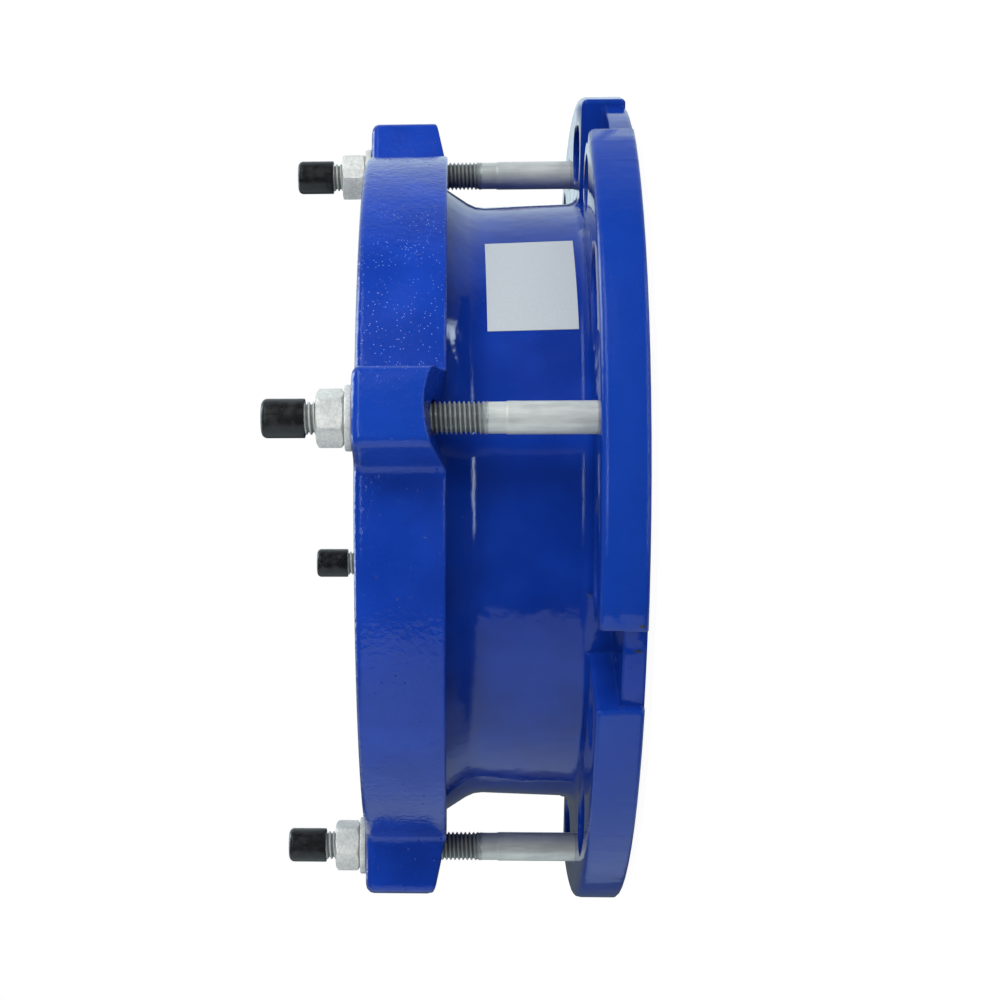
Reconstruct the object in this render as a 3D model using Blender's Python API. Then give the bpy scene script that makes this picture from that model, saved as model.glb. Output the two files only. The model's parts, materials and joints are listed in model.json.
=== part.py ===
"""Flange adaptor coupling, size DN 200, standing on its flange.

A cast body carries a drilled flange at its foot and a flared socket at its head.
A rubber wedge gasket lies in the socket. A follower ring presses on the gasket,
drawn down by four bolts whose heads are captive in the back of the flange face.
Each bolt carries a washer, a nut and a plastic end cap.

Z = 0 is the raised face of the flange, and the pipe axis is Z.
"""
import math

import bmesh
import bpy
from mathutils import Matrix, Vector

# Barrel
bore_radius = 0.1185
barrel_wall = 0.0071
barrel_draft = 0.0014
barrel_length = 0.0425

# Flange: walls are measured from the holes for the flange bolts
flange_plate = 0.0175
flange_rim_wall = 0.011
flange_hub_wall = 0.009
raised_face_inset = 0.003
raised_face_height = 0.003
front_edge_radius = 0.0014
rear_edge_radius = 0.0025
hub_fillet = 0.004

# Flared socket
flare_rise = 0.0124
flare_angle = math.radians(33)
flare_fillet = 0.012
socket_rim_height = 0.0064
socket_lip_wall = 0.005
seat_drop = 0.001

# Holes for the flange bolts: slots that take both common drillings, and single holes
drilling_hole_radius = 0.0115
slot_first_angle = math.radians(15)
slot_last_angle = math.radians(22.5)
single_hole_angle = math.radians(45)

# Relief channels in the back of the flange, between the bosses of the flange holes
channel_depth = 0.009
channel_hub_gap = 0.0006
hole_boss_wall = 0.0045
side_channel_walls = (math.radians(-128.2), math.radians(-117.3))
side_channel_rim_setback = 0.004
cross_channel_walls = (math.radians(-44.7), math.radians(-29.5))
cross_channel_rim_setback = 0.0035

# Clamp bolts, nuts, washers and end caps
clamp_count = 4
bolt_to_follower_offset = 0.0018
bolt_radius = 0.006
thread_relief = 0.00015
thread_length = 0.0803
bolt_tip_chamfer = 0.0012
bolt_head_flats = 0.019
bolt_head_height = 0.0075
bolt_head_sink = 0.0005
nut_flats = 0.019
nut_height = 0.010
nut_chamfer = 0.0009
nut_turns = tuple(math.radians(turn) for turn in (7.1, 24.0, 9.1, -3.0))
washer_rim = 0.0025
washer_thickness = 0.0025
washer_hole_clearance = 0.0006
cap_stand_off = 0.0043
cap_length = 0.0158
cap_wall = 0.0010
cap_crown = 0.0013
cap_tip_radius = 0.0022
cap_lip_radius = 0.0003

# Follower ring
follower_width = 0.0337
follower_web = 0.012
follower_skirt_wall = 0.0076
follower_front_radius = 0.003
follower_rear_radius = 0.001
lug_reach = 0.0202
lug_half_width = 0.0145
lug_base_spread = 0.0033
lug_corner_radius = 0.004
lug_root_radius = 0.006
lug_root_sink = 0.0004
arch_rise = 0.0046
arch_margin = 0.0012
lug_arch_extra_rise = 0.0033

# Gasket
gasket_toe_rise = 0.005
gasket_head_rise = 0.0074
gasket_groove_depth = 0.0010
gasket_groove_width = 0.0030

# Clearances
seat_gap = 0.0003
follower_bore_clearance = 0.0010
skirt_clearance = 0.0014
bolt_hole_clearance = 0.00075
lug_hole_clearance = 0.0010
head_pocket_clearance = 0.0004
cut_margin = 0.004

# Fineness of the curves
turn_steps = 72
small_turn_steps = 16
corner_step = math.radians(32)

# Radii that follow from the sizes above
barrel_radius = bore_radius + barrel_wall
hub_radius = barrel_radius + barrel_draft
drilling_circle = hub_radius + flange_hub_wall + drilling_hole_radius
flange_radius = drilling_circle + drilling_hole_radius + flange_rim_wall
raised_face_radius = drilling_circle - drilling_hole_radius - raised_face_inset
hole_boss_radius = drilling_hole_radius + hole_boss_wall
socket_radius = barrel_radius + flare_rise
gasket_bore_radius = bore_radius - seat_gap
follower_bore_radius = bore_radius + follower_bore_clearance
skirt_inside = socket_radius + skirt_clearance
follower_radius = skirt_inside + follower_skirt_wall
clamp_circle = follower_radius + bolt_to_follower_offset
lug_radius = clamp_circle + lug_reach
thread_radius = bolt_radius - thread_relief
washer_radius = nut_flats / 2 + washer_rim
lug_base_half_width = lug_half_width + lug_base_spread
arch_half_width = lug_base_half_width + arch_margin

# Heights that follow from the sizes above
rear_face = raised_face_height + flange_plate
flare_start = rear_face + barrel_length
flare_end = flare_start + flare_rise / math.tan(flare_angle)
seat_start = flare_start - seat_drop
socket_height = flare_end + socket_rim_height
gasket_toe_height = seat_start + gasket_toe_rise
gasket_top = socket_height + gasket_head_rise
follower_underside = gasket_top + seat_gap
follower_face = follower_underside + follower_web
follower_foot = follower_face - follower_width
washer_bottom = follower_face + seat_gap
washer_top = washer_bottom + washer_thickness
nut_bottom = washer_top + seat_gap
nut_top = nut_bottom + nut_height
cap_bottom = nut_top + cap_stand_off
cap_top = cap_bottom + cap_length
bolt_tip = cap_top - cap_crown - seat_gap
thread_start = bolt_tip - thread_length
head_pocket_top = raised_face_height + bolt_head_sink + bolt_head_height + seat_gap
clamp_angles = [math.tau * index / clamp_count for index in range(clamp_count)]


def clear_scene():
    for item in list(bpy.data.objects):
        bpy.data.objects.remove(item, do_unlink=True)


def make_material(name, colour, roughness, metallic):
    material = bpy.data.materials.new(name)
    material.use_nodes = True
    shader = material.node_tree.nodes["Principled BSDF"]
    shader.inputs["Base Color"].default_value = (*colour, 1.0)
    shader.inputs["Roughness"].default_value = roughness
    shader.inputs["Metallic"].default_value = metallic
    return material


def polar(radius, angle):
    return radius * math.cos(angle), radius * math.sin(angle)


def corner_arc(before, corner, after, radius):
    """Points of the arc that rounds one corner of an outline."""
    if radius <= 0.0:
        return [tuple(corner)]
    back = (before - corner).normalized()
    ahead = (after - corner).normalized()
    half = back.angle(ahead) / 2
    centre = corner + (back + ahead).normalized() * (radius / math.sin(half))
    first = corner + back * (radius / math.tan(half)) - centre
    last = corner + ahead * (radius / math.tan(half)) - centre
    start = math.atan2(first.y, first.x)
    sweep = math.remainder(math.atan2(last.y, last.x) - start, math.tau)
    steps = max(1, math.ceil(abs(sweep) / corner_step))
    turns = [start + sweep * step / steps for step in range(steps + 1)]
    return [(centre.x + radius * math.cos(t), centre.y + radius * math.sin(t)) for t in turns]


def rounded(corners):
    """Closed outline from (x, y, radius) corners, each rounded to its own radius."""
    points = [Vector(corner[:2]) for corner in corners]
    outline = []
    for index, corner in enumerate(corners):
        before = points[index - 1]
        after = points[(index + 1) % len(points)]
        outline += corner_arc(before, points[index], after, corner[2])
    return outline


def add_object(name, shape, material=None):
    """Turn a bmesh into a named object, shaded smooth up to 30 degrees."""
    bmesh.ops.recalc_face_normals(shape, faces=shape.faces)
    mesh = bpy.data.meshes.new(name)
    shape.to_mesh(mesh)
    shape.free()
    mesh.shade_smooth()
    mesh.set_sharp_from_angle(angle=math.radians(30))
    item = bpy.data.objects.new(name, mesh)
    bpy.context.scene.collection.objects.link(item)
    if material is None:
        item.hide_render = True
        item.display_type = "WIRE"
    else:
        mesh.materials.append(material)
    return item


def revolve(outline, steps):
    """Solid made by turning a closed (radius, height) outline about Z.

    The facets start a quarter step off +X, clear of the corners of holes and slots.
    """
    seam = math.tau / steps / 4
    shape = bmesh.new()
    corners = [shape.verts.new((*polar(radius, seam), height)) for radius, height in outline]
    edges = [shape.edges.new(pair) for pair in zip(corners, corners[1:] + corners[:1])]
    bmesh.ops.spin(shape, geom=corners + edges, cent=(0, 0, 0), axis=(0, 0, 1),
                   angle=math.tau, steps=steps, use_merge=True)
    bmesh.ops.remove_doubles(shape, verts=shape.verts, dist=1e-7)
    bmesh.ops.dissolve_degenerate(shape, edges=shape.edges, dist=1e-7)
    axis_edges = [edge for edge in shape.edges if edge.is_wire]
    bmesh.ops.delete(shape, geom=axis_edges, context="EDGES")
    return shape


def loft(shape, sections):
    """Add one closed solid through (outline, height) sections with equal point counts."""
    rings = [[shape.verts.new((x, y, height)) for x, y in outline] for outline, height in sections]
    for low, high in zip(rings, rings[1:]):
        for index in range(len(low)):
            after = (index + 1) % len(low)
            shape.faces.new((low[index], low[after], high[after], high[index]))
    shape.faces.new(list(reversed(rings[0])))
    shape.faces.new(rings[-1])


def turned_outline(outline, angle):
    return [tuple(Matrix.Rotation(angle, 2) @ Vector(point)) for point in outline]


def prisms(outline, angles, bottom, top):
    """One straight prism of the outline for each angle round the axis."""
    shape = bmesh.new()
    for angle in angles:
        turned = turned_outline(outline, angle)
        loft(shape, [(turned, bottom), (turned, top)])
    return shape


def circle(radius, steps, centre=0.0):
    turns = [math.tau * (step + 0.5) / steps for step in range(steps)]
    return [(centre + radius * math.cos(turn), radius * math.sin(turn)) for turn in turns]


def hexagon(flats, centre=0.0, turn=0.0):
    corner = flats / 2 / math.cos(math.pi / 6)
    turns = [turn + math.tau * side / 6 for side in range(6)]
    return [(centre + corner * math.cos(t), corner * math.sin(t)) for t in turns]


def boolean(item, cutter, operation="DIFFERENCE"):
    modifier = item.modifiers.new(cutter.name, "BOOLEAN")
    modifier.operation = operation
    modifier.solver = "EXACT"
    modifier.object = cutter


def seat_radius(height):
    """Radius of the cone inside the socket at a height."""
    mouth = socket_radius - socket_lip_wall
    share = (height - seat_start) / (socket_height - seat_start)
    return bore_radius + (mouth - bore_radius) * share


def body_outline():
    edge = front_edge_radius
    return rounded([
        (bore_radius, 0.0, edge),
        (raised_face_radius, 0.0, edge / 2),
        (raised_face_radius, raised_face_height, edge / 2),
        (flange_radius, raised_face_height, edge),
        (flange_radius, rear_face, rear_edge_radius),
        (hub_radius, rear_face, hub_fillet),
        (barrel_radius, flare_start, flare_fillet),
        (socket_radius, flare_end, 2 * edge),
        (socket_radius, socket_height, edge),
        (socket_radius - socket_lip_wall, socket_height, edge),
        (bore_radius, seat_start, flare_fillet / 2),
    ])


def slot_outline(first, last):
    """Round-ended slot along the drilling circle between two angles."""
    circle_radius, radius = drilling_circle, drilling_hole_radius
    steps = small_turn_steps // 2
    ends = []
    for angle, start in ((last, 0.0), (first, math.pi)):
        cx, cy = polar(circle_radius, angle)
        for step in range(steps + 1):
            dx, dy = polar(radius, angle + start + math.pi * step / steps)
            ends.append((cx + dx, cy + dy))
        if start == 0.0:
            middle = (first + last) / 2
            ends.append(polar(circle_radius - radius, middle))
    ends.append(polar(circle_radius + radius, (first + last) / 2))
    return ends


def cut_drilling(body):
    """Two slots and one single hole in each quarter of the flange."""
    bottom, top = -cut_margin, rear_face + cut_margin
    quarters = [math.pi / 2 * quarter for quarter in range(4)]
    shape = bmesh.new()
    for first, last in ((slot_first_angle, slot_last_angle),
                        (math.pi / 2 - slot_last_angle, math.pi / 2 - slot_first_angle)):
        outline = slot_outline(first, last)
        for quarter in quarters:
            turned = turned_outline(outline, quarter)
            loft(shape, [(turned, bottom), (turned, top)])
    hole = circle(drilling_hole_radius, small_turn_steps, drilling_circle)
    for quarter in quarters:
        turned = turned_outline(hole, quarter + single_hole_angle)
        loft(shape, [(turned, bottom), (turned, top)])
    boolean(body, add_object("drilling_cutter", shape))


def cut_bolt_seats(body):
    """Clearance holes for the clamp bolts, with a hexagon pocket for each head."""
    hole = circle(bolt_radius + bolt_hole_clearance, small_turn_steps, clamp_circle)
    shape = prisms(hole, clamp_angles, 0.0, rear_face + cut_margin)
    boolean(body, add_object("bolt_hole_cutter", shape))
    pocket = hexagon(bolt_head_flats + 2 * head_pocket_clearance, clamp_circle)
    shape = prisms(pocket, clamp_angles, 0.0, head_pocket_top)
    boolean(body, add_object("head_pocket_cutter", shape))


def boss_columns():
    """Round columns of metal that the channels leave round the holes and slot ends."""
    shape = bmesh.new()
    for quarter in range(4):
        for angle in (slot_last_angle, single_hole_angle, math.pi / 2 - slot_last_angle):
            column = circle(hole_boss_radius, 2 * small_turn_steps, drilling_circle)
            turned = turned_outline(column, math.pi / 2 * quarter + angle)
            loft(shape, [(turned, -cut_margin), (turned, rear_face + 3 * cut_margin)])
    return shape


def cut_channel(body, name, walls, rim_setback):
    """Channel with radial walls that opens at the rim, cut on opposite sides."""
    hub = hub_radius + channel_hub_gap
    outside = flange_radius + cut_margin
    setback = flange_radius - rim_setback
    floor = rear_face - channel_depth
    shares = (0.0, 0.25, 0.5, 0.75, 1.0)
    turns = [walls[0] + (walls[1] - walls[0]) * share for share in shares]
    trough = [polar(hub, turn) for turn in turns]
    trough += [polar(outside, turns[-1]), polar(outside, turns[0])]
    inset = seat_gap / flange_radius
    first, last = turns[0] + inset, turns[-1] - inset
    rim = [polar(setback, first + (last - first) * share) for share in shares]
    rim += [polar(outside, last), polar(outside, first)]
    angles = (0.0, math.pi)
    shape = prisms(trough, angles, floor, rear_face + hub_fillet + cut_margin)
    cutter = add_object(name + "_cutter", shape)
    boolean(cutter, add_object(name + "_boss_cutter", boss_columns()))
    boolean(body, cutter)
    shape = prisms(rim, angles, -cut_margin, floor + seat_gap)
    boolean(body, add_object(name + "_rim_cutter", shape))


def make_body(material):
    body = add_object("flange_body", revolve(body_outline(), turn_steps), material)
    cut_drilling(body)
    cut_bolt_seats(body)
    cut_channel(body, "side_channel", side_channel_walls, side_channel_rim_setback)
    cut_channel(body, "cross_channel", cross_channel_walls, cross_channel_rim_setback)


def follower_outline():
    """Section of the follower: a flat web with a skirt that covers the socket."""
    edge = follower_rear_radius
    return rounded([
        (follower_bore_radius, follower_underside, edge),
        (skirt_inside, follower_underside, 2 * edge),
        (skirt_inside, follower_foot, edge / 2),
        (follower_radius, follower_foot, edge),
        (follower_radius, follower_face, follower_front_radius),
        (follower_bore_radius, follower_face, edge),
    ])


def lug_outline(inset):
    """Plan of one lug at +X: a round-topped ear that blends into the ring."""
    inside = follower_radius - follower_skirt_wall / 2
    spread = math.asin((lug_base_half_width + 1.5 * lug_root_radius) / follower_radius)
    root = follower_radius - inset - lug_root_sink
    top = lug_radius - inset
    half_top = lug_half_width - inset
    half_base = lug_base_half_width - inset
    right = [
        (*polar(inside, -spread), 0.0),
        (*polar(root, -spread), 0.0),
        (math.sqrt(root ** 2 - half_base ** 2), -half_base, lug_root_radius),
        (math.sqrt(top ** 2 - half_top ** 2), -half_top, lug_corner_radius),
    ]
    left = [(x, -y, radius) for x, y, radius in reversed(right)]
    crown = [(top, 0.0, 0.0)]
    inner = [(*polar(inside, spread * share), 0.0) for share in (0.5, 0.0, -0.5)]
    return rounded(right + crown + left + inner)


def add_lugs(follower):
    """Four ears for the bolts, with the front edge rounded over."""
    radius = follower_front_radius
    sections = [(0.0, follower_foot)]
    for step in range(4):
        turn = math.pi / 2 * step / 3
        inset = radius * (1 - math.cos(turn))
        sections.append((inset, follower_face - radius + radius * math.sin(turn)))
    shape = bmesh.new()
    for angle in clamp_angles:
        loft(shape, [(turned_outline(lug_outline(inset), angle), height)
                     for inset, height in sections])
    boolean(follower, add_object("lug_union", shape), "UNION")


def arch_section(radius, half_width):
    """Side and height points of the arch under a lug at a radius from the pipe axis."""
    slope = lug_arch_extra_rise / (lug_radius - follower_radius)
    crown = follower_foot + arch_rise + slope * (radius - follower_radius)
    fall = arch_rise / arch_half_width ** 2
    sides = [half_width * (step / 6 - 1) for step in range(13)]
    floor = follower_foot - 4 * cut_margin
    arch = [(side, crown - fall * side ** 2) for side in sides]
    return [(-half_width, floor)] + arch + [(half_width, floor)]


def cut_arches(follower):
    """Arched relief over each bolt on the body side, through the skirt and the lug."""
    reach = arch_half_width + 2 * cut_margin
    ends = (skirt_inside - cut_margin, lug_radius + cut_margin)
    shape = bmesh.new()
    for angle in clamp_angles:
        turn = Matrix.Rotation(angle, 3, "Z")
        rings = [[shape.verts.new(turn @ Vector((radius, side, height)))
                  for side, height in arch_section(radius, reach)] for radius in ends]
        near, far = rings
        for index in range(len(near)):
            after = (index + 1) % len(near)
            shape.faces.new((near[index], near[after], far[after], far[index]))
        shape.faces.new(near)
        shape.faces.new(list(reversed(far)))
    boolean(follower, add_object("arch_cutter", shape))


def cut_lug_holes(follower):
    hole = circle(bolt_radius + lug_hole_clearance, small_turn_steps, clamp_circle)
    shape = prisms(hole, clamp_angles, follower_foot - cut_margin, follower_face + cut_margin)
    boolean(follower, add_object("lug_hole_cutter", shape))


def make_follower(material):
    follower = add_object("follower_ring", revolve(follower_outline(), turn_steps), material)
    add_lugs(follower)
    cut_arches(follower)
    cut_lug_holes(follower)


def make_gasket(material):
    """Rubber wedge: a cone that fills the socket, a flat head and a grooved bore."""
    gap = seat_gap / math.cos(math.atan2(socket_radius - socket_lip_wall - bore_radius,
                                         socket_height - seat_start))
    head = seat_radius(socket_height) - gap
    edge = front_edge_radius
    corners = [
        (gasket_bore_radius, gasket_toe_height, edge / 2),
        (seat_radius(gasket_toe_height) - gap, gasket_toe_height, edge / 2),
        (head, socket_height, 2 * edge),
        (head, gasket_top, edge),
        (gasket_bore_radius, gasket_top, edge),
    ]
    spacing = (gasket_top - gasket_toe_height) / 3
    for groove in (2, 1):
        middle = gasket_toe_height + groove * spacing
        half = gasket_groove_width / 2
        deep = gasket_bore_radius + gasket_groove_depth
        corners.append((gasket_bore_radius, middle + half, 0.0))
        corners.append((deep, middle + half / 2, 0.0))
        corners.append((deep, middle - half / 2, 0.0))
        corners.append((gasket_bore_radius, middle - half, 0.0))
    add_object("gasket", revolve(rounded(corners), turn_steps), material)


def place(name, mesh_source, angle):
    """Stand a copy of a small piece on the clamp circle."""
    item = bpy.data.objects.new(name, mesh_source)
    item.location = (*polar(clamp_circle, angle), 0.0)
    item.rotation_euler = (0.0, 0.0, angle)
    bpy.context.scene.collection.objects.link(item)
    return item


def small_mesh(name, shape, material):
    """Mesh shared by the copies of a small piece; the first object is not kept."""
    item = add_object(name, shape, material)
    mesh = item.data
    bpy.data.objects.remove(item)
    return mesh


def finished_mesh(item, tools):
    """Mesh of an object with its cuts applied; the object and its tools are removed."""
    bpy.context.view_layer.update()
    evaluated = item.evaluated_get(bpy.context.evaluated_depsgraph_get())
    mesh = bpy.data.meshes.new_from_object(evaluated)
    for done in (item, *tools):
        bpy.data.objects.remove(done)
    return mesh


def bolt_mesh(material):
    """Hexagon head, plain shank and a slimmer threaded end with a bevelled tip."""
    head_bottom = raised_face_height + bolt_head_sink
    head_top = head_bottom + bolt_head_height
    step = bolt_radius - thread_radius
    shank = circle(bolt_radius, small_turn_steps)
    thread = circle(thread_radius, small_turn_steps)
    tip = circle(thread_radius - bolt_tip_chamfer, small_turn_steps)
    shape = bmesh.new()
    loft(shape, [(shank, head_top - seat_gap), (shank, thread_start),
                 (thread, thread_start + step), (thread, bolt_tip - bolt_tip_chamfer),
                 (tip, bolt_tip)])
    bolt = add_object("bolt", shape, material)
    head = bmesh.new()
    loft(head, [(hexagon(bolt_head_flats), head_bottom), (hexagon(bolt_head_flats), head_top)])
    head_tool = add_object("bolt_head_tool", head)
    boolean(bolt, head_tool, "UNION")
    return finished_mesh(bolt, (head_tool,))


def nut_mesh(material):
    """Hexagon nut with a plain bore, its corners bevelled by a cone at both faces."""
    shape = bmesh.new()
    loft(shape, [(hexagon(nut_flats), nut_bottom), (hexagon(nut_flats), nut_top)])
    nut = add_object("nut", shape, material)
    hole = bmesh.new()
    bore = circle(thread_radius + seat_gap, small_turn_steps)
    loft(hole, [(bore, nut_bottom - cut_margin), (bore, nut_top + cut_margin)])
    hole_cutter = add_object("nut_hole_cutter", hole)
    boolean(nut, hole_cutter)
    flat = nut_flats / 2
    corner = flat / math.cos(math.pi / 6)
    wide = 2 * corner - flat
    outline = [
        (flat, nut_bottom),
        (wide, nut_bottom + 2 * nut_chamfer),
        (wide, nut_top - 2 * nut_chamfer),
        (flat, nut_top),
        (0.0, nut_top),
        (0.0, nut_bottom),
    ]
    bevel = add_object("nut_bevel_tool", revolve(outline, 2 * small_turn_steps))
    boolean(nut, bevel, "INTERSECT")
    return finished_mesh(nut, (hole_cutter, bevel))


def washer_shape():
    inside = bolt_radius + washer_hole_clearance
    edge = front_edge_radius / 4
    return revolve(rounded([
        (inside, washer_bottom, 0.0),
        (washer_radius, washer_bottom, edge),
        (washer_radius, washer_top, edge),
        (inside, washer_top, 0.0),
    ]), small_turn_steps + 4)


def cap_shape():
    """Push-on cap: a tube closed at the top, with a round edge and a small lip below."""
    inside = thread_radius + seat_gap
    outside = inside + cap_wall
    return revolve([(0.0, cap_top)] + rounded([
        (0.0, cap_top, 0.0),
        (outside, cap_top, cap_tip_radius),
        (outside, cap_bottom, cap_lip_radius),
        (inside, cap_bottom, 0.0),
        (inside, cap_top - cap_crown, 0.0),
        (0.0, cap_top - cap_crown, 0.0),
    ])[1:], small_turn_steps)


def make_fasteners(zinc, plastic):
    bolts = bolt_mesh(zinc)
    nuts = nut_mesh(zinc)
    washers = small_mesh("washer", washer_shape(), zinc)
    caps = small_mesh("cap", cap_shape(), plastic)
    for index, angle in enumerate(clamp_angles):
        number = index + 1
        place(f"bolt_{number}", bolts, angle)
        nut = place(f"nut_{number}", nuts, angle)
        nut.rotation_euler.z = nut_turns[index % len(nut_turns)]
        place(f"washer_{number}", washers, angle)
        place(f"cap_{number}", caps, angle)


def main():
    clear_scene()
    epoxy = make_material("blue_epoxy", (0.010, 0.055, 0.420), 0.22, 0.0)
    rubber = make_material("epdm_rubber", (0.015, 0.015, 0.016), 0.75, 0.0)
    zinc = make_material("zinc_steel", (0.48, 0.50, 0.49), 0.45, 0.9)
    plastic = make_material("black_plastic", (0.012, 0.012, 0.013), 0.38, 0.0)
    make_body(epoxy)
    make_follower(epoxy)
    make_gasket(rubber)
    make_fasteners(zinc, plastic)


main()
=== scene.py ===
# %% [markdown]
# # Flange adaptor coupling
#
# A cast coupling that joins a plain pipe end to a flange. The solids come from the packed
# model, and each step here adds the look of one piece: smooth cast skins under blue epoxy,
# true threads, nuts with bevelled corners, soft caps and a blank paper label.

# %% Load the solids
import json
import math

import bmesh
import bpy
import numpy as np
from mathutils import Matrix, Vector

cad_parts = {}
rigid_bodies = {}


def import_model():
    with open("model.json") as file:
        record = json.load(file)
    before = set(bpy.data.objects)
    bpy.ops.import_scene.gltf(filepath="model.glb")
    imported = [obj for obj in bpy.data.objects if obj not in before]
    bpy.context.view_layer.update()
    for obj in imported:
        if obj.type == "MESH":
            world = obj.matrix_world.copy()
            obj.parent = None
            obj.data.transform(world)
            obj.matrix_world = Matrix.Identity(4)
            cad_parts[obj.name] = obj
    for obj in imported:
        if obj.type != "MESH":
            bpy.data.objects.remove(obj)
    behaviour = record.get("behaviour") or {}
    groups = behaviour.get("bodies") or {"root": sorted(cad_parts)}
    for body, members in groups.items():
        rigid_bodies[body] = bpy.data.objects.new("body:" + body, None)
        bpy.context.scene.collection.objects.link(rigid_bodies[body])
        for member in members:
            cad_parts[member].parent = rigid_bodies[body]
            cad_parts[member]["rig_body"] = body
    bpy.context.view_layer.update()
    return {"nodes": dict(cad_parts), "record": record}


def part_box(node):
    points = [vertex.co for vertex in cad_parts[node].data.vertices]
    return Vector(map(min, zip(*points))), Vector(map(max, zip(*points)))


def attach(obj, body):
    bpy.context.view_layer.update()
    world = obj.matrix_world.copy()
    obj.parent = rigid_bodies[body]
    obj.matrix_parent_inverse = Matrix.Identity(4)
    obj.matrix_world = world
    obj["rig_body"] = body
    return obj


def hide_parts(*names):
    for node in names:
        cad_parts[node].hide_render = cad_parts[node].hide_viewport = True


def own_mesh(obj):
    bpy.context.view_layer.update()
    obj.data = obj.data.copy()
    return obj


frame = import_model()
nodes = frame["nodes"]

# %% [markdown]
# ## Places
#
# The places of the pieces are read from the solids' own boxes, so the scene follows the
# model when the model changes. Four clamp bolts stand a quarter turn apart, the first of
# them on +X.

# %% Read places from the solids
flange_radius = round(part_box("flange_body")[1].x, 3)
bolt_low, bolt_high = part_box("bolt_1")
clamp_circle = (bolt_low.x + bolt_high.x) / 2
clamp_angles = [math.tau * index / 4 for index in range(4)]
print("flange radius", flange_radius, "clamp circle", round(clamp_circle, 5), "m")

# %% [markdown]
# ## Shader sums
#
# A finish is easier to read as a formula. One small class wraps a socket, so that sums and
# products add Math nodes, and one method adds any other node.


# %% A value in a shader
class Value:
    """One socket of a shader. Operators add Math nodes; node() adds any other node."""

    def __init__(self, tree, socket):
        self.tree = tree
        self.socket = socket

    def feed(self, target, value):
        """Link a Value to the target socket, or set a plain number or colour on it."""
        if isinstance(value, Value):
            self.tree.links.new(value.socket, target)
        else:
            target.default_value = value

    def node(self, kind, settings=None, inputs=None, output=0):
        """Add a node: its settings come first, then its inputs by name or number."""
        added = self.tree.nodes.new(kind)
        for name, setting in (settings or {}).items():
            setattr(added, name, setting)
        for name, value in (inputs or {}).items():
            self.feed(added.inputs[name], value)
        return Value(self.tree, added.outputs[output])

    def maths(self, operation, *terms):
        """Math node with its terms in order."""
        return self.node("ShaderNodeMath", {"operation": operation}, dict(enumerate(terms)))

    def vector(self, operation, *terms, output=0):
        """Vector Math. Output 1 is the number that a length or a dot product gives."""
        return self.node("ShaderNodeVectorMath", {"operation": operation},
                         dict(enumerate(terms)), output)

    def __add__(self, other):
        return self.maths("ADD", self, other)

    def __radd__(self, other):
        return self.maths("ADD", other, self)

    def __sub__(self, other):
        return self.maths("SUBTRACT", self, other)

    def __rsub__(self, other):
        return self.maths("SUBTRACT", other, self)

    def __mul__(self, other):
        return self.maths("MULTIPLY", self, other)

    def __rmul__(self, other):
        return self.maths("MULTIPLY", other, self)

    def larger(self, other):
        return self.maths("MAXIMUM", self, other)

    def smaller(self, other):
        return self.maths("MINIMUM", self, other)

    def unsigned(self):
        return self.maths("ABSOLUTE", self)

    def root(self):
        return self.maths("SQRT", self)

    def stretch(self, x, y, z):
        return self.vector("MULTIPLY", self, (x, y, z))

    def length(self):
        return self.vector("LENGTH", self, output=1)

    def dot(self, direction):
        return self.vector("DOT_PRODUCT", self, direction, output=1)

    def band(self, low, high, bottom=0.0, top=1.0):
        """Smooth step from bottom to top as the value goes from low to high."""
        ends = {"Value": self, "From Min": low, "From Max": high, "To Min": bottom, "To Max": top}
        return self.node("ShaderNodeMapRange", {"interpolation_type": "SMOOTHSTEP"}, ends)

    def mix(self, first, second):
        """Colour between first and second, with this value as the share of the second."""
        return self.node("ShaderNodeMix", {"data_type": "RGBA"}, {0: self, 6: first, 7: second}, 2)

    def noise(self, scale, detail=2.0, roughness=0.5):
        pattern = {"Vector": self, "Scale": scale, "Detail": detail, "Roughness": roughness}
        return self.node("ShaderNodeTexNoise", None, pattern)

    def cells(self, scale):
        """Distance to the nearest of many scattered points."""
        return self.node("ShaderNodeTexVoronoi", None, {"Vector": self, "Scale": scale})

    def bump(self, strength, distance, below=None):
        """Normal of a surface raised by this value, on top of another normal if given."""
        relief = {"Height": self, "Strength": strength, "Distance": distance}
        if below is not None:
            relief["Normal"] = below
        return self.node("ShaderNodeBump", None, relief)


print("helpers on a value:", [name for name in vars(Value) if not name.startswith("_")])

# %% [markdown]
# ## A finish from a formula
#
# A finish is a function from a place on the piece to the sockets that vary there. The
# place is read from Object coordinates, which stay fixed to the piece as it moves. What is
# the same all over a piece is set on the shader's own socket.

# %% Finish and colour
def finish(name, paint, **constants):
    """Material whose varying sockets come from paint(place), and the rest are constants."""
    material = bpy.data.materials.new(name)
    material.use_nodes = True
    tree = material.node_tree
    shader = tree.nodes["Principled BSDF"]
    for socket, value in constants.items():
        shader.inputs[socket].default_value = value
    coordinates = tree.nodes.new("ShaderNodeTexCoord")
    place = Value(tree, coordinates.outputs["Object"])
    for socket, value in paint(place).items():
        place.feed(shader.inputs[socket], value)
    return material


def colour(red, green, blue):
    """Linear colour from the usual 0 to 255 values."""
    parts = [value / 255 for value in (red, green, blue)]
    linear = [v / 12.92 if v <= 0.04045 else ((v + 0.055) / 1.055) ** 2.4 for v in parts]
    return (*linear, 1.0)


print("mid grey is", round(colour(128, 128, 128)[0], 3), "in linear light")
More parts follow.
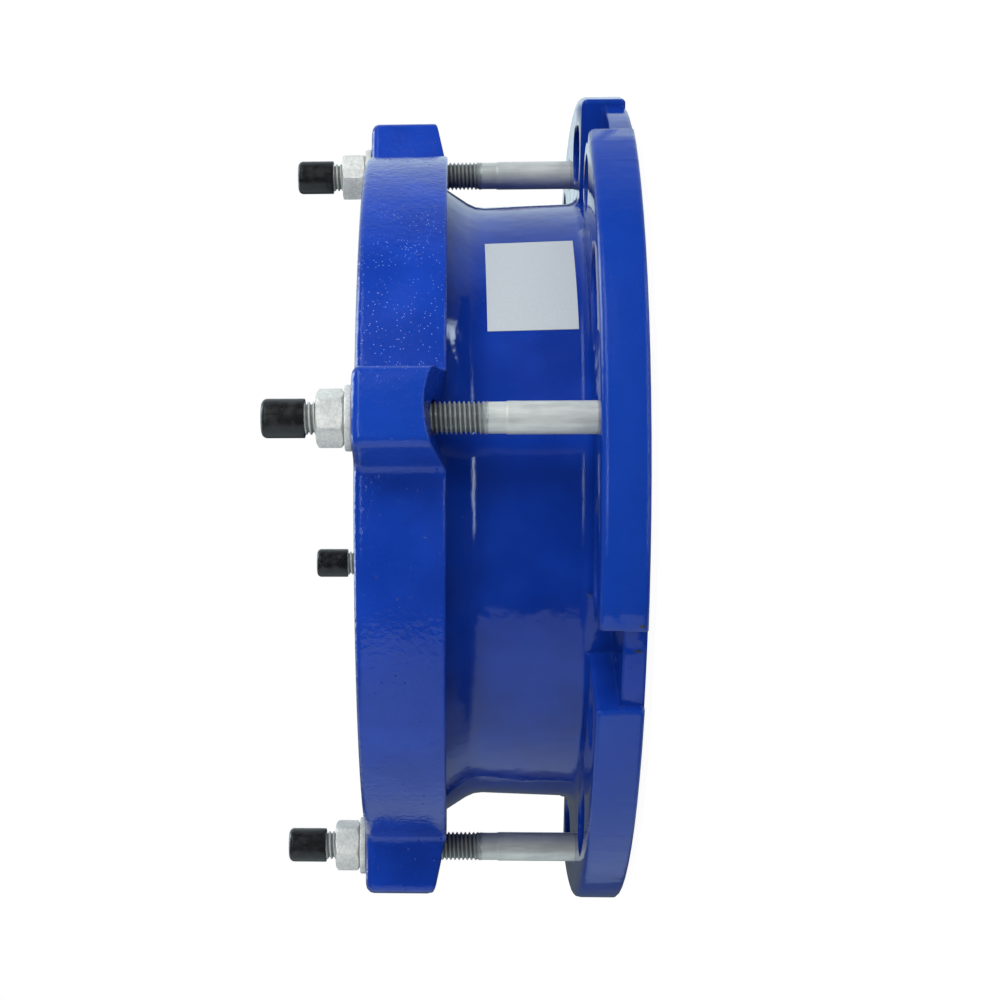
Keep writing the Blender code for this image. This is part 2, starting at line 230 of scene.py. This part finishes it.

# %% [markdown]
# ## Marks in the epoxy
#
# Two kinds of mark tell a real coating from a plastic one. Where a corner was knocked, a
# small ragged chip shows dark iron: it is a ball of distance round a point, with noise
# added before it is cut off. Pale specks are a painted highlight, the sparkle of grit in
# the coat: they are the middles of a Voronoi texture's cells, kept to the lit upper side
# of the casting.
# Both are formulas, so they need no picture and stay sharp from near.

# %% Chips and painted sparkle
chip_half_size = (0.0006, 0.0006, 0.0014)
channel_chips = ((-0.0764, -0.1517, 0.0056), (-0.0841, -0.1431, 0.006))
# Painted highlight: the pale sparkle specks are kept to the lit upper side, along picture_up.
lit_side = (0.979, -0.206, 0.0)


def chip(place, middle):
    """1 inside a small ragged patch: length of (place - middle) / half size, plus noise,
    is below a limit."""
    away = place.vector("SUBTRACT", place, middle)
    away = away.stretch(*[1.0 / half for half in chip_half_size])
    return (away.length() + place.noise(900.0, 2.0) * 1.2).band(1.45, 1.6, 1.0, 0.0)


def painted_sparkle(place, amount):
    """Share of painted highlight at a place: pale specks of sparkle. It is kept to a belt
    along the lit side, and comes and goes there in patches."""
    specks = place.cells(760.0).band(0.09, 0.16, 0.8, 0.0)
    along_side = place.dot(lit_side)
    specks = specks * along_side.band(0.035, 0.060) * along_side.band(0.105, 0.125, 1.0, 0.0)
    return specks * place.noise(60.0, 2.0).band(0.40, 0.56) * amount


print("chips:", len(channel_chips))

# %% [markdown]
# ## Blue epoxy on a casting
#
# The castings are dipped or sprayed while hot, and the epoxy flows out before it sets. It
# keeps long soft waves, called orange peel, and small lumps of dust that catch the light.
# Their sparkle on the lit side is a painted highlight: pale specks mixed into the colour.
# The ring was cast in rougher sand than the barrel, so more of the sand shows through. The
# flange's rim keeps faint strokes across it, and its blue is mixed a little paler. The coat
# runs thick over corners, so a Bevel node rounds the shading there by the coat's own radius,
# and the waves lie on top of it in one Bump node.

# %% Blue epoxy
def epoxy(sand, peel, lumps_and_sparkle, roughness, corner, deep, bright, chips=()):
    """Paint from shares of sand texture, orange peel, and lumps with their painted highlight
    sparkle, a base roughness, the coat's radius at corners, two blues that change in patches,
    and places of chips. Height = waves + sand + lumps + strokes on the rim."""
    def paint(place):
        patch = place.noise(38.0, 3.0).band(0.35, 0.7)
        from_axis = place.stretch(1.0, 1.0, 0.0).length()
        rim = from_axis.band(flange_radius - 0.0025, flange_radius - 0.0010)
        coat = (rim * 0.7).mix(patch.mix(deep, bright), colour(15, 51, 136))
        # Painted highlight: pale sparkle specks mixed into the blue on the lit side.
        tint = painted_sparkle(place, min(1.0, lumps_and_sparkle)).mix(coat, colour(140, 165, 214))
        for middle in chips:
            tint = chip(place, middle).mix(tint, colour(38, 44, 50))
        waves = place.noise(160.0, 1.5) * peel + place.noise(45.0, 1.0) * (2.2 * peel)
        rough_sand = place.noise(430.0, 2.0, 0.55) * sand
        lumps = place.cells(330.0).band(0.0, 0.22, 1.0, 0.0)
        lumps = lumps * place.noise(200.0, 1.0).band(0.54, 0.64)
        strokes = place.stretch(1.0, 1.0, 0.08).noise(260.0, 2.0, 0.6)
        height = waves + rough_sand + lumps * lumps_and_sparkle + strokes * rim * 0.35
        soft_corner = place.node("ShaderNodeBevel", {"samples": 6}, {"Radius": corner})
        return {
            "Base Color": tint,
            "Roughness": place.noise(90.0, 2.0).band(0.3, 0.75, 0.0, 0.05) + roughness,
            "Normal": height.bump(0.7, 0.0006, soft_corner),
        }
    return paint


body_epoxy = finish("body_epoxy", epoxy(
    sand=0.04, peel=0.40, lumps_and_sparkle=0.10, roughness=0.06, corner=0.0022,
    deep=colour(9, 39, 120), bright=colour(13, 46, 133), chips=channel_chips))
ring_epoxy = finish("ring_epoxy", epoxy(
    sand=0.60, peel=0.36, lumps_and_sparkle=1.00, roughness=0.10, corner=0.0016,
    deep=colour(12, 46, 134), bright=colour(17, 53, 147)))
print("epoxy nodes:", len(body_epoxy.node_tree.nodes), len(ring_epoxy.node_tree.nodes))

# %% [markdown]
# ## Zinc
#
# Nuts and washers are zinc coated and dull, with pale grains, stains and a few dark pits.
# The coat is mostly oxide, so only a little of it is Metallic. The bolts are drawn bars,
# so their streaks run along them. The thread's grooves are painted darker as painted shade,
# and oil darkens the part of the thread that is under the ring. A groove is found by the
# bar's own radius at a point: folding the four bolts onto one gives that radius with one
# material for all of them.

# %% Zinc
thread_start = 0.0595
oil_top = 0.100
groove_shade_radius = 0.0051
unshaded_radius = 0.0058


def zinc_paint(place):
    """Pale zinc with fine grains, stains and pits."""
    grain = place.noise(900.0, 3.0, 0.65)
    stain = place.noise(120.0, 3.0)
    tint = (grain * 0.6 + stain * 0.4).band(0.35, 0.65)
    pits = place.cells(800.0).band(0.12, 0.22, 1.6, 0.0)
    pits = pits * place.noise(200.0, 2.0).band(0.55, 0.62)
    return {
        "Base Color": (tint + pits).mix(colour(201, 204, 200), colour(168, 172, 170)),
        "Roughness": stain.band(0.3, 0.7, 0.30, 0.45),
        "Normal": grain.bump(0.2, 0.0002),
    }


def bar_radius(place):
    """Distance from the nearest bolt's axis: the larger of |x| and |y| less the clamp
    circle is one leg, the smaller is the other, and the root of their squares is the
    distance."""
    east = place.node("ShaderNodeSeparateXYZ", None, {0: place}, 0).unsigned()
    north = place.node("ShaderNodeSeparateXYZ", None, {0: place}, 1).unsigned()
    outward = east.larger(north) - clamp_circle
    beside = east.smaller(north)
    return (outward * outward + beside * beside).root()


def bolt_paint(place):
    """Drawn steel under thin zinc, with painted shade in the grooves and oil in the thread."""
    streak = place.stretch(1.0, 1.0, 0.12).noise(700.0, 3.0, 0.6)
    stain = place.noise(90.0, 3.0)
    tint = (streak * 0.5 + stain * 0.5).band(0.36, 0.64)
    height = place.node("ShaderNodeSeparateXYZ", None, {0: place}, 2)
    thread = height.band(thread_start - 0.0005, thread_start + 0.0005)
    # Painted shade: the colour darkens in the thread's grooves, where the bar is thinner.
    groove = bar_radius(place).band(groove_shade_radius, unshaded_radius, 0.75, 0.0) * thread
    oil = thread * height.band(oil_top - 0.004, oil_top + 0.004, 1.0, 0.0)
    pits = place.cells(900.0).band(0.10, 0.20, 0.5, 0.0)
    pits = pits * place.noise(160.0, 2.0).band(0.56, 0.64)
    metal = tint.mix(colour(172, 178, 177), colour(192, 197, 194))
    metal = (oil * 0.28 + pits).mix(metal, colour(92, 97, 96))
    return {
        "Base Color": groove.mix(metal, colour(58, 62, 62)),
        "Roughness": stain.band(0.3, 0.7, 0.28, 0.38),
        "Metallic": oil.band(0.0, 1.0, 0.35, 0.60),
        "Normal": streak.bump(0.12, 0.0002),
    }


zinc = finish("zinc_coat", zinc_paint, Metallic=0.2)
bolt_zinc = finish("bolt_zinc", bolt_paint)
print("zinc nodes:", len(zinc.node_tree.nodes), len(bolt_zinc.node_tree.nodes))

# %% [markdown]
# ## Plastic, rubber and paper
#
# The end caps are soft black plastic with a satin skin. The gasket is matt rubber with a
# bloom of dust. The label is coated paper, a little darker than white so that it keeps its
# grey under the lamps. Each is one noise that moves the colour and the roughness together.

# %% Plastic, rubber and paper
def cap_paint(place):
    """Satin black with paler scuffs."""
    scuff = place.noise(300.0, 3.0)
    return {
        "Base Color": scuff.band(0.4, 0.75).mix(colour(21, 21, 22), colour(36, 36, 37)),
        "Roughness": scuff.band(0.3, 0.7, 0.26, 0.40),
        "Normal": place.noise(180.0, 2.0).bump(0.25, 0.0003),
    }


def rubber_paint(place):
    """Matt black, greyer where the bloom lies."""
    bloom = place.noise(150.0, 4.0, 0.6)
    return {
        "Base Color": bloom.band(0.45, 0.8).mix(colour(22, 22, 23), colour(46, 46, 47)),
        "Roughness": bloom.band(0.3, 0.7, 0.62, 0.82),
        "Normal": place.noise(700.0, 2.0).bump(0.2, 0.0002),
    }


def paper_paint(place):
    """Pale grey with a trace of fibre."""
    fibre = place.noise(900.0, 2.0)
    return {
        "Base Color": fibre.band(0.3, 0.7).mix(colour(154, 161, 166), colour(158, 165, 170)),
        "Roughness": fibre.band(0.3, 0.7, 0.40, 0.50),
        "Normal": fibre.bump(0.1, 0.0001),
    }


cap_plastic = finish("cap_plastic", cap_paint)
gasket_rubber = finish("gasket_rubber", rubber_paint)
label_paper = finish("label_paper", paper_paint)
print("finishes:", len(bpy.data.materials))

# %% [markdown]
# ## Surfaces from two parameters
#
# Most small pieces are turned: a profile of radius and height carried round an axis. A
# grid of points worked out as whole arrays gives the mesh. Its ends are closed by faces,
# or its last row meets its first one, so each piece is a closed solid.


# %% Grid to mesh
def turned(radius, height, turn, place=0.0, angle=0.0):
    """Points at radius and height for each turn, moved out along an angle by place.
    x = place cos(angle) + radius cos(turn), y the same with sines."""
    x = place * math.cos(angle) + radius * np.cos(turn)
    y = place * math.sin(angle) + radius * np.sin(turn)
    return np.stack(np.broadcast_arrays(x, y, height), -1)


def finish_piece(name, mesh, material, body, sharp=32.0):
    """Point the faces outwards, shade smooth but for edges sharper than an angle in
    degrees, and let the piece ride on its body."""
    shape = bmesh.new()
    shape.from_mesh(mesh)
    bmesh.ops.remove_doubles(shape, verts=shape.verts, dist=1e-7)
    bmesh.ops.recalc_face_normals(shape, faces=shape.faces)
    shape.to_mesh(mesh)
    shape.free()
    mesh.shade_smooth()
    mesh.set_sharp_from_angle(angle=math.radians(sharp))
    mesh.materials.clear()
    mesh.materials.append(material)
    piece = bpy.data.objects.new(name, mesh)
    bpy.context.scene.collection.objects.link(piece)
    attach(piece, body)
    return piece


def grid_mesh(name, points, closed_rows, material, body):
    """Mesh through a grid of points (rows, columns, 3). Columns always run round and meet;
    rows meet too when closed_rows is true, and otherwise each end row is closed by a face."""
    rows, columns = points.shape[:2]
    index = np.arange(rows * columns).reshape(rows, columns)
    low = index if closed_rows else index[:-1]
    high = np.roll(index, -1, axis=0) if closed_rows else index[1:]
    quads = np.stack([low, np.roll(low, -1, 1), np.roll(high, -1, 1), high], -1).reshape(-1, 4)
    faces = quads.tolist()
    if not closed_rows:
        faces += [index[0, ::-1].tolist(), index[-1].tolist()]
    mesh = bpy.data.meshes.new(name)
    mesh.from_pydata(points.reshape(-1, 3).tolist(), [], faces)
    mesh.update()
    return finish_piece(name, mesh, material, body)


print("a turned point:", turned(0.001, 0.002, 0.0, clamp_circle).round(4).tolist())

# %% [markdown]
# ## The cast skins
#
# The body, the ring and the gasket keep the solids' shape. A merged copy of each is shaded
# as one skin. The castings get small rounded edges from a Bevel modifier, as sand casting
# leaves no sharp corner, and rubber stays as it is.

# %% Cast skins
merge_distance = 2e-6
flat_angle = 0.5
corner_angle = 42.0


def skin(node, material, edge):
    """Copy of a solid, merged, with corners rounded by a bevel of the given width."""
    shape = bmesh.new()
    shape.from_mesh(nodes[node].data)
    bmesh.ops.remove_doubles(shape, verts=shape.verts, dist=merge_distance)
    bmesh.ops.dissolve_limit(shape, angle_limit=math.radians(flat_angle),
                             verts=shape.verts, edges=shape.edges)
    mesh = bpy.data.meshes.new(node + "_skin")
    shape.to_mesh(mesh)
    shape.free()
    body = nodes[node]["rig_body"]
    piece = finish_piece(node + "_skin", mesh, material, body, sharp=corner_angle)
    if edge > 0.0:
        bevel = piece.modifiers.new("edge", "BEVEL")
        bevel.width = edge
        bevel.segments = 2
        bevel.limit_method = "ANGLE"
        bevel.angle_limit = math.radians(corner_angle)
        bevel.harden_normals = True
    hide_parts(node)
    return piece


body_skin = skin("flange_body", body_epoxy, 0.0009)
ring_skin = skin("follower_ring", ring_epoxy, 0.0006)
gasket_skin = skin("gasket", gasket_rubber, 0.0)
print("skins:", [len(piece.data.polygons) for piece in (body_skin, ring_skin, gasket_skin)])

# %% [markdown]
# ## How much of the gasket's length is kept
#
# The gasket sits in the socket, and the ring presses it shorter as it is drawn down. The
# share of its length that it keeps at the ring's full travel is worked out, and its skin
# gets a mesh of its own.

# %% Gasket under the ring
gasket_low, gasket_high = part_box("gasket")
slide = [row for row in frame["record"]["behaviour"]["joints"] if row["name"] == "follower_slide"]
travel = slide[0]["range_m"][1]
kept_length = 1.0 - travel / (gasket_high.z - gasket_low.z)
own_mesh(gasket_skin)
print("gasket keeps", round(kept_length, 3), "of its length")

# %% [markdown]
# ## Bolts
#
# A rolled thread is a ridge that climbs one pitch for each turn. Height and turn give a
# saw-shaped depth, so the thread is a true surface and not a picture of one. Below the
# thread comes a slightly thinner neck, then the plain shank, and the hexagon head sits in
# the flange. One function gives the radius at every height and turn, which a modifier
# such as Screw could not do for a thread that runs out.

# %% Bolts
pitch = 0.00175
rows_per_pitch = 14
thread_crest = 0.00597
thread_depth = 0.00095
shank_radius = 0.00606
neck_radius = 0.00578
neck_start = 0.0522
neck_slope_length = 0.0009
head_top = 0.011
half_flats = 0.0095
tip_bevel = 0.0014


def bolt_points(angle):
    """Head, shank, neck and thread. Thread radius = crest - depth x groove, where the
    groove is a triangle wave of (height / pitch - turn), flattened at crest and root, and
    fades in over two pitches."""
    turn = np.linspace(0.0, math.tau, 40, endpoint=False)[None, :]
    tip = bolt_high.z
    row_step = pitch / rows_per_pitch
    last_row = tip - 0.0012
    heights = np.concatenate([
        [bolt_low.z, bolt_low.z, head_top, head_top, head_top + 0.0004],
        np.linspace(0.014, neck_start, 6),
        [neck_start + 0.0001, neck_start + 0.0010, neck_start + 0.0011, neck_start + 0.002],
        [thread_start - 0.0005, thread_start],
        np.arange(thread_start + row_step, last_row, row_step),
        [last_row, tip, tip],
    ])[:, None]
    phase = (heights / pitch - turn / math.tau) % 1.0
    groove = np.clip(1.35 - 3.3 * np.abs(phase - 0.5), 0.0, 1.0)
    fade_in = np.clip((heights - thread_start) / (2.0 * pitch), 0.0, 1.0)
    threaded = thread_crest - thread_depth * groove * fade_in
    before_neck = np.clip((neck_start + 0.0010 - heights) / neck_slope_length, 0.0, 1.0)
    plain = neck_radius + (shank_radius - neck_radius) * before_neck
    radius = np.where(heights <= thread_start, plain, threaded)
    radius = radius - np.clip(heights - (tip - tip_bevel), 0.0, 1.0) * 0.9
    hexagon = half_flats / np.cos((turn + math.pi / 6) % (math.pi / 3) - math.pi / 6)
    radius[1:3] = hexagon
    radius[0] = hexagon - 0.0007
    radius[-1] *= 0.02
    return turned(radius, heights, turn, clamp_circle, angle)


for number, angle in enumerate(clamp_angles, 1):
    points = bolt_points(angle)
    piece = grid_mesh(f"thread_{number}", points, False, bolt_zinc, "base")
    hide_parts(f"bolt_{number}")
print("faces of a bolt:", len(piece.data.polygons))

# %% [markdown]
# ## Nuts
#
# A nut is a hexagon whose corners are cut by a cone, so each corner shows a curved bevel.
# The smaller of the hexagon's radius and the cone's radius gives that shape with no
# cutting. Each nut stops at its own turn, as nuts tightened by hand do.

# %% Nuts
nut_twists = [math.radians(turn) for turn in (7.1, 24.0, 9.1, -3.0)]
nut_bore = 0.00615
bevel_rise = 0.0022
bevel_steepness = 1.75


def nut_points(node, angle, twist):
    """Rows run up the outside and down the bore. Outside radius is the smaller of the
    hexagon, half flats / cos(turn within a side), and the bevel cone at that height."""
    low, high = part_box(node)
    thick = round(high.z - low.z, 5)
    turn = np.linspace(0.0, math.tau, 96, endpoint=False)[None, :]
    hexagon = half_flats / np.cos((turn - twist) % (math.pi / 3) - math.pi / 6)
    side_start = bevel_rise + 0.0004
    rise = np.concatenate([
        [0.0],
        np.linspace(0.0, bevel_rise, 9),
        np.linspace(side_start, thick - side_start, 4),
        np.linspace(thick - bevel_rise, thick, 9),
        [thick],
    ])[:, None]
    cone = half_flats - 0.0003 + bevel_steepness * np.minimum(rise, thick - rise)
    outside = np.minimum(hexagon, cone)
    outside[[0, -1]] -= 0.0006
    mouth = np.full((1, turn.shape[1]), nut_bore + 0.0007)
    bore = np.full((2, turn.shape[1]), nut_bore)
    radius = np.concatenate([outside, mouth, bore, mouth])
    lift = np.concatenate([rise, [[thick], [thick - 0.0006], [0.0006], [0.0]]])
    return turned(radius, low.z + lift, turn, clamp_circle, angle)


for number, (angle, twist) in enumerate(zip(clamp_angles, nut_twists), 1):
    points = nut_points(f"nut_{number}", angle, twist)
    piece = grid_mesh(f"nut_form_{number}", points, True, zinc, f"nut_{number}")
    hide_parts(f"nut_{number}")
print("faces of a nut:", len(piece.data.polygons))

# %% [markdown]
# ## Washers
#
# A washer is punched from sheet, which rounds its outer edge a little. Its section is a
# closed outline of eight points, carried round the bolt.

# %% Washers
washer_bore = 0.0067
washer_radius = 0.0120


def washer_points(node, angle):
    """Rows go round the section, from the bore out along the foot and back along the top."""
    low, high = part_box(node)
    turn = np.linspace(0.0, math.tau, 72, endpoint=False)[None, :]
    thick = high.z - low.z
    near_edge = ((-0.0003, 0.0), (-0.0001, 0.00012), (0.0, 0.0005))
    foot = [(washer_radius + out, up) for out, up in near_edge]
    top = [(wide, thick - up) for wide, up in reversed(foot)]
    section = np.array([(washer_bore, 0.0), *foot, *top, (washer_bore, thick)])
    return turned(section[:, :1], low.z + section[:, 1:], turn, clamp_circle, angle)


for number, angle in enumerate(clamp_angles, 1):
    points = washer_points(f"washer_{number}", angle)
    piece = grid_mesh(f"washer_form_{number}", points, True, zinc, "follower")
    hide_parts(f"washer_{number}")
print("faces of a washer:", len(piece.data.polygons))

# %% [markdown]
# ## End caps
#
# A dipped plastic cap is a thin tube with a rounded end, and its mouth's edge is soft. Its
# profile is an arc between straight stretches, turned round the bolt.

# %% End caps
cap_radius = 0.00715
cap_corner = 0.0022
cap_bore = 0.0062
cap_wall = 0.0013
pole_radius = 0.00004


def cap_points(node, angle):
    """Outside profile from mouth to tip, then the inside back to the mouth. The corner is
    a quarter circle: radius + corner cos(a), height + corner sin(a)."""
    low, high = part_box(node)
    turn = np.linspace(0.0, math.tau, 64, endpoint=False)[None, :]
    top = high.z - low.z
    outside = [(0.0069, 0.0), (0.00708, 0.0001), (cap_radius, 0.0003), (cap_radius, 0.004),
               (cap_radius, 0.008)]
    corner = [(cap_radius - cap_corner + cap_corner * math.cos(a),
               top - cap_corner + cap_corner * math.sin(a))
              for a in np.linspace(0.0, math.pi / 2, 9)]
    crown = [(0.0030, top), (pole_radius, top)]
    inside = [(pole_radius, top - cap_wall), (0.0055, top - cap_wall),
              (cap_bore, top - 0.0020), (cap_bore, 0.0003), (0.0064, 0.0)]
    section = np.array(outside + corner + crown + inside)
    return turned(section[:, :1], low.z + section[:, 1:], turn, clamp_circle, angle)


for number, angle in enumerate(clamp_angles, 1):
    points = cap_points(f"cap_{number}", angle)
    body = f"cap_{number}"
    piece = grid_mesh(f"cap_form_{number}", points, True, cap_plastic, body)
    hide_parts(f"cap_{number}")
print("faces of a cap:", len(piece.data.polygons))

# %% [markdown]
# ## Label
#
# A blank paper label is stuck on the barrel, a little askew. It is a patch of the barrel's
# own tapered surface, lifted by the paper's thickness, so it bends with the barrel and
# leaves no gap. Two sheets joined round their border make it a closed slab.

# %% Label
near_side = -90.0
label_turn = (math.radians(near_side + 19.1), math.radians(near_side + 42.2))
label_height = (0.0253, 0.0597)
label_slant = 0.0006
paper_lift = 0.00022
paper_sink = 0.0002
barrel_taper = ((0.0252, 0.12676), (0.0590, 0.12564))
flare_start = 0.0588
flare_radius = 0.012


def label_points():
    """Radius = barrel radius at that height + lift; rows go up the label, columns round it.
    The barrel tapers in a straight line between two heights, and above it flares by
    height squared / (2 x flare radius)."""
    turn = np.linspace(*label_turn, 40)[None, :]
    height = np.linspace(*label_height, 24)[:, None]
    (low, wide), (high, narrow) = barrel_taper
    barrel = wide + (narrow - wide) * (height - low) / (high - low)
    barrel = barrel + np.clip(height - flare_start, 0.0, 1.0) ** 2 / (2 * flare_radius)
    height = height - label_slant * (turn[:, ::-1] - turn.min()) / np.ptp(turn)
    return turned(barrel + paper_lift, height, turn), turned(barrel - paper_sink, height, turn)


def label_mesh():
    """Two sheets joined round their border, so that the label is a closed thin slab."""
    outer, inner = label_points()
    rows, columns = outer.shape[:2]
    index = np.arange(rows * columns).reshape(rows, columns)
    quads = np.stack([index[:-1, :-1], index[:-1, 1:], index[1:, 1:], index[1:, :-1]], -1)
    front = quads.reshape(-1, 4)
    back = front[:, ::-1] + rows * columns
    rim = np.concatenate([index[0, :-1], index[:-1, -1], index[-1, :0:-1], index[:0:-1, 0]])
    after = np.roll(rim, -1)
    sides = np.stack([rim, rim + rows * columns, after + rows * columns, after], -1)
    mesh = bpy.data.meshes.new("label")
    points = np.concatenate([outer.reshape(-1, 3), inner.reshape(-1, 3)])
    mesh.from_pydata(points.tolist(), [], np.concatenate([front, back, sides]).tolist())
    mesh.update()
    return mesh


label = finish_piece("label", label_mesh(), label_paper, "base")
print("faces of the label:", len(label.data.polygons))

# %% [markdown]
# ## Camera
#
# The camera looks across the coupling, rolled so that the pipe axis lies level in the
# picture with the flange on the right. Its place and lens were solved from the flange's
# round rim and the bolts. The lens's own centre is off the picture's middle, as it is in a
# picture that was cut from a wider one, and the camera's shift makes up for that.

# %% Camera
picture_size = 1000.0
focal_length = 1947.73
lens_centre = (346.26, 633.04)
sensor_width = 36.0
camera_place = (-0.17555, -0.83447, 0.07223)
right = Vector((0.00953, 0.05350, -0.99852)).normalized()
ahead = Vector((0.13995, 0.98867, 0.05431)).normalized()

camera_data = bpy.data.cameras.new("camera")
camera_data.sensor_width = sensor_width
camera_data.lens = sensor_width * focal_length / picture_size
camera_data.shift_x = (picture_size / 2 - lens_centre[0]) / picture_size
camera_data.shift_y = (lens_centre[1] - picture_size / 2) / picture_size
camera = bpy.data.objects.new("camera", camera_data)
bpy.context.scene.collection.objects.link(camera)
upward = right.cross(ahead).normalized()
turning = Matrix((right, upward, -ahead)).transposed().to_4x4()
camera.matrix_world = Matrix.Translation(camera_place) @ turning
bpy.context.scene.camera = camera
print("camera up", [round(v, 4) for v in upward])

# %% [markdown]
# ## Lamps
#
# Soft studio light comes from large panels: the strongest on the picture's upper left, a
# weaker one near the camera and one below. They are unseen in gloss, which shows a painted
# room instead, so that the light's level and the reflections can be set apart.

# %% Lamps
picture_up = Vector((0.97858, -0.20586, 0.0))
toward_camera = Vector((-0.20586, -0.97858, 0.0))
pipe_axis = Vector((0.0, 0.0, 1.0))
coupling_middle = Vector((0.0, 0.0, 0.06))


def panel(name, place, size, power):
    """Square lamp at a place, aimed at the middle of the coupling, unseen in gloss."""
    data = bpy.data.lights.new(name, "AREA")
    data.size = size
    data.energy = power
    lamp = bpy.data.objects.new(name, data)
    bpy.context.scene.collection.objects.link(lamp)
    lamp.location = place
    lamp.rotation_euler = (coupling_middle - place).to_track_quat("-Z", "Y").to_euler()
    lamp.visible_glossy = False


panel("upper_panel", picture_up * 1.1 + toward_camera * 0.9 + pipe_axis * 0.45, 0.9, 24.0)
panel("front_panel", toward_camera * 1.6 + pipe_axis * 0.9, 0.7, 7.0)
panel("lower_panel", picture_up * -1.2 + toward_camera * 0.9 + pipe_axis * 0.5, 0.9, 10.0)
print("lamps:", len(bpy.data.lights))

# %% [markdown]
# ## The room that gloss shows
#
# Wet-looking epoxy is seen mostly by what it mirrors: the white backdrop behind the
# coupling, a dim side near the camera, a pale table below, and narrow bright windows whose
# long glints run down the barrel and along the fillets. Each is a band of ray directions,
# so the room has no pixels and gives the same gloss in every view.

# %% The room that gloss shows
world = bpy.data.worlds.new("studio")
bpy.context.scene.world = world
world.use_nodes = True
tree = world.node_tree
sky = Value(tree, tree.nodes.new("ShaderNodeTexCoord").outputs["Generated"])

toward = sky.dot(tuple(toward_camera))
up = sky.dot(tuple(picture_up))
axis = sky.dot(tuple(pipe_axis))

backdrop = sky.node("ShaderNodeMapRange", None, {
    "Value": toward, "From Min": 0.15, "From Max": -0.85, "To Min": 0.03, "To Max": 1.0})
lit_part = up.band(-0.06, 0.16, 0.12, 1.0).larger(axis.unsigned().band(0.45, 0.60))
table = up.band(-0.68, -0.645, 1.0, 0.0) * axis.band(-0.62, -0.40, 0.15, 1.0)
table = table * up.band(-0.95, -0.66, 0.78, 0.58) * toward.band(-0.72, -0.55, 0.65, 1.0)

left_strip = axis.band(0.43, 0.45) * axis.band(0.47, 0.49, 1.0, 0.0)
right_strip = axis.band(-0.73, -0.71) * axis.band(-0.68, -0.66, 1.0, 0.0)
strips = (left_strip + right_strip) * up.band(-0.25, -0.05)
strips = strips * up.band(0.80, 0.92, 1.0, 0.0) * toward.band(0.0, 0.2)
side_window = axis.band(0.70, 0.74) * axis.band(0.92, 0.95, 1.0, 0.0)
side_window = side_window * toward.band(-0.2, 0.0, 0.5, 0.0)
side_window = side_window * up.band(-0.30, -0.12) * up.band(0.50, 0.65, 1.0, 0.0)

window_level = 11.0
room = (backdrop * lit_part).larger(table) + (strips + side_window) * window_level
print("room nodes:", len(tree.nodes))

# %% [markdown]
# ## The world's three faces
#
# The camera sees plain white. Gloss sees the room, in a cool daylight tint. Everything else
# gets an even, weak fill, which keeps the shadows open.

# %% World
daylight = (0.78, 0.94, 1.0, 1.0)
white = (1.0, 1.0, 1.0, 1.0)
fill_level = 0.28

rays = tree.nodes.new("ShaderNodeLightPath")
seen = Value(tree, rays.outputs["Is Camera Ray"])
through = Value(tree, rays.outputs["Is Transmission Ray"])
glossy = Value(tree, rays.outputs["Is Glossy Ray"])
plain_white = seen.larger(through)
strength = plain_white + (1.0 - plain_white) * (glossy * room + (1.0 - glossy) * fill_level)
background = tree.nodes["Background"]
sky.feed(background.inputs["Color"], glossy.mix(white, daylight))
sky.feed(background.inputs["Strength"], strength)
bpy.context.scene.view_settings.view_transform = "Standard"
print("world nodes:", len(tree.nodes))

# %% [markdown]
# ## Floor
#
# The coupling stands on its flange on a white floor. To the camera most of the floor's
# brightness is its own, so it meets the white background, and the rest is lit and keeps
# the shadow. Gloss looks through it to the room.

# %% Floor
floor_glow = 1.13
glow_share = 0.85


def floor_material():
    """Matt white, mixed with a glow that only the camera and clear pieces see."""
    material = bpy.data.materials.new("white_floor")
    material.use_nodes = True
    tree = material.node_tree
    shader = tree.nodes["Principled BSDF"]
    shader.inputs["Base Color"].default_value = (0.9, 0.9, 0.9, 1.0)
    shader.inputs["Roughness"].default_value = 0.9
    shader.inputs["Specular IOR Level"].default_value = 0.0
    glow = tree.nodes.new("ShaderNodeEmission")
    glow.inputs["Strength"].default_value = floor_glow
    rays = tree.nodes.new("ShaderNodeLightPath")
    seen = Value(tree, rays.outputs["Is Camera Ray"])
    through = Value(tree, rays.outputs["Is Transmission Ray"])
    share = seen.larger(through) * glow_share
    mixed = share.node("ShaderNodeMixShader", None, {
        0: share, 1: Value(tree, shader.outputs[0]), 2: Value(tree, glow.outputs[0])})
    mixed.feed(tree.nodes["Material Output"].inputs["Surface"], mixed)
    return material


bpy.ops.mesh.primitive_plane_add(size=8.0, location=(0.0, 0.0, -0.0002))
floor = bpy.context.object
floor.name = "floor"
floor.data.materials.append(floor_material())
floor.visible_glossy = False
print("floor size", floor.dimensions.x, "m")

# %% [markdown]
